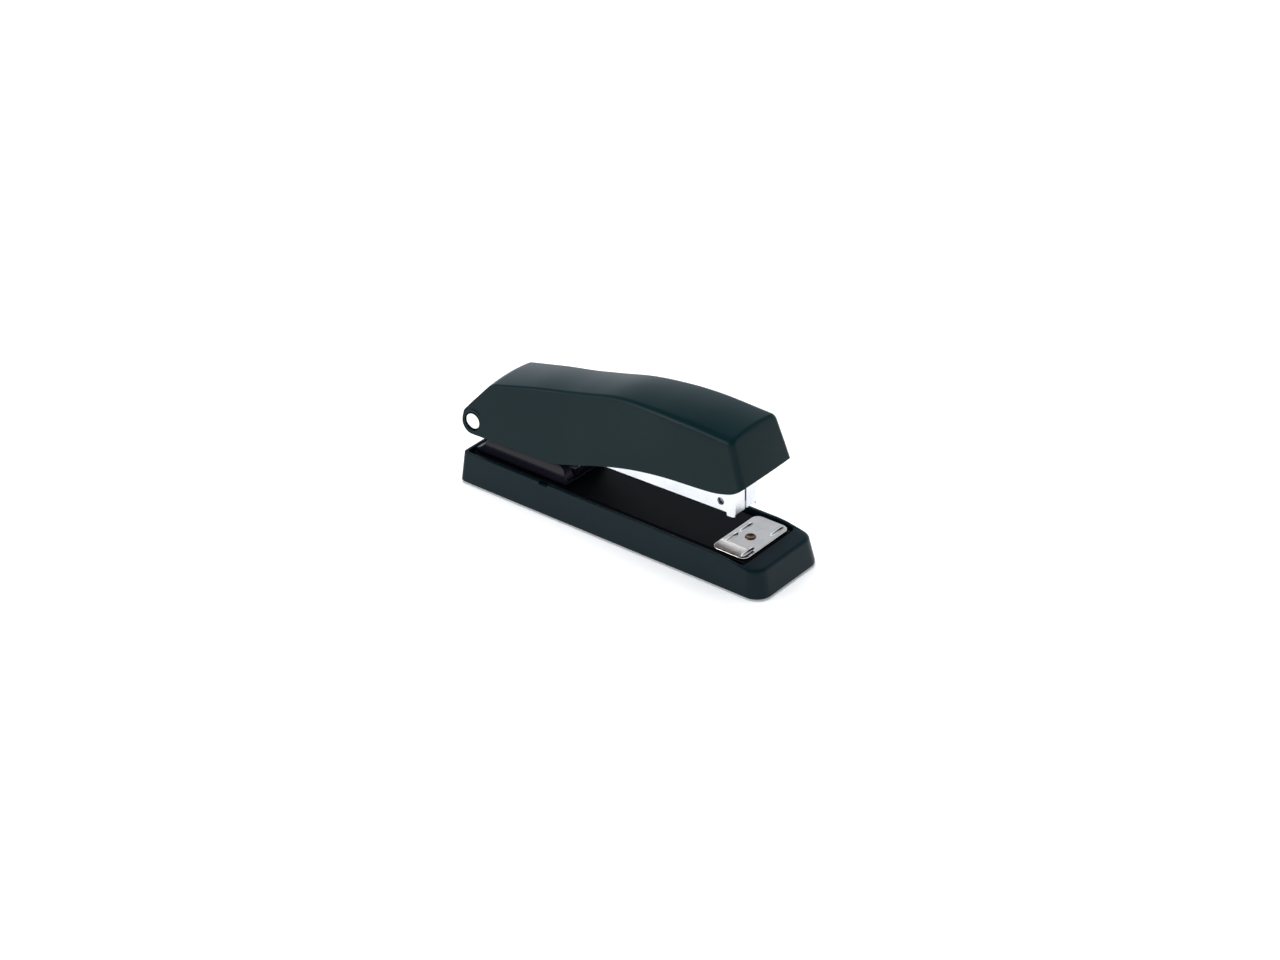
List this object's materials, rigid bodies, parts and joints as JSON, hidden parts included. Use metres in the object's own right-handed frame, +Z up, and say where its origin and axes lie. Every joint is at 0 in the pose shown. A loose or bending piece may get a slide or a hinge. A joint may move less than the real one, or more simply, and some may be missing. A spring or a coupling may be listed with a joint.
{
  "type": "stapler",
  "caption": "Desk stapler: black shoe with a steel deck and turning anvil, a plated staple magazine and a sprung handle on one rear pin.",
  "frame": {"origin": "table level, under the middle of the whole stapler's box", "axes": "+X towards the anvil end, +Y to the left side, +Z up"},
  "size_m": [0.1693, 0.045, 0.0713],
  "materials": {
    "shoe_plastic": "satin black moulding",
    "handle_plastic": "satin black moulding, fine grain",
    "bracket_plastic": "satin black moulding",
    "black_steel": "smooth black enamel",
    "plated_steel": "bright zinc plate",
    "polished_steel": "polished",
    "spring_steel": "plain steel, lightly oiled",
    "nickel_steel": "nickel plate",
    "bronze": "aged copper plate",
    "rubber_feet": "matte",
    "nylon": "natural nylon"
  },
  "bodies": {
    "base": {"base_shoe": "shoe_plastic", "deck_plate": "black_steel", "foot_front_left": "rubber_feet", "foot_front_right": "rubber_feet", "foot_rear_left": "rubber_feet", "foot_rear_right": "rubber_feet", "hinge_bracket": "bracket_plastic", "bracket_rivet_front": "spring_steel", "bracket_rivet_rear": "spring_steel", "pivot_pin": "nickel_steel", "lift_spring": "spring_steel", "anvil_rivet": "bronze", "anvil_spring_washer": "spring_steel", "pivot_washer_left": "nylon", "pivot_washer_right": "nylon"},
    "anvil": {"anvil_plate": "polished_steel"},
    "magazine": {"magazine_channel": "plated_steel", "staple_rail": "plated_steel", "rod_plate_front": "spring_steel", "rod_plate_rear": "spring_steel", "rail_rivet": "spring_steel", "guide_rod": "spring_steel", "follower_spring": "spring_steel"},
    "pusher": {"pusher": "spring_steel"},
    "handle": {"handle_cover": "handle_plastic", "handle_frame": "spring_steel", "driver_blade": "plated_steel", "driver_rivet_left": "spring_steel", "driver_rivet_right": "spring_steel", "handle_spring": "spring_steel", "handle_spring_rivet": "spring_steel"}
  },
  "joints": [
    {"name": "magazine_hinge", "type": "hinge", "parent": "base", "child": "magazine", "pos_m": [-0.0785, 0, 0.03], "axis": [0, 1, 0], "range_deg": [-90, 4.8], "stiffness_Nm_per_rad": 3, "springref_deg": -2.58, "deforming": ["lift_spring"]},
    {"name": "handle_hinge", "type": "hinge", "parent": "magazine", "child": "handle", "pos_m": [-0.0785, 0, 0.03], "axis": [0, 1, 0], "range_deg": [-75, 3.3], "stiffness_Nm_per_rad": 3, "springref_deg": -1.15, "deforming": ["handle_spring"]},
    {"name": "pusher_slide", "type": "slide", "parent": "magazine", "child": "pusher", "axis": [0.9997, 0, 0.0227], "range_m": [-0.1, 0], "stiffness_N_per_m": 20, "springref_m": 0.15, "deforming": ["follower_spring"]},
    {"name": "anvil_turn", "type": "hinge", "parent": "base", "child": "anvil", "pos_m": [0.0628, 0, 0.0145], "axis": [0, 0, 1], "range_deg": [0, 180]}
  ]
}
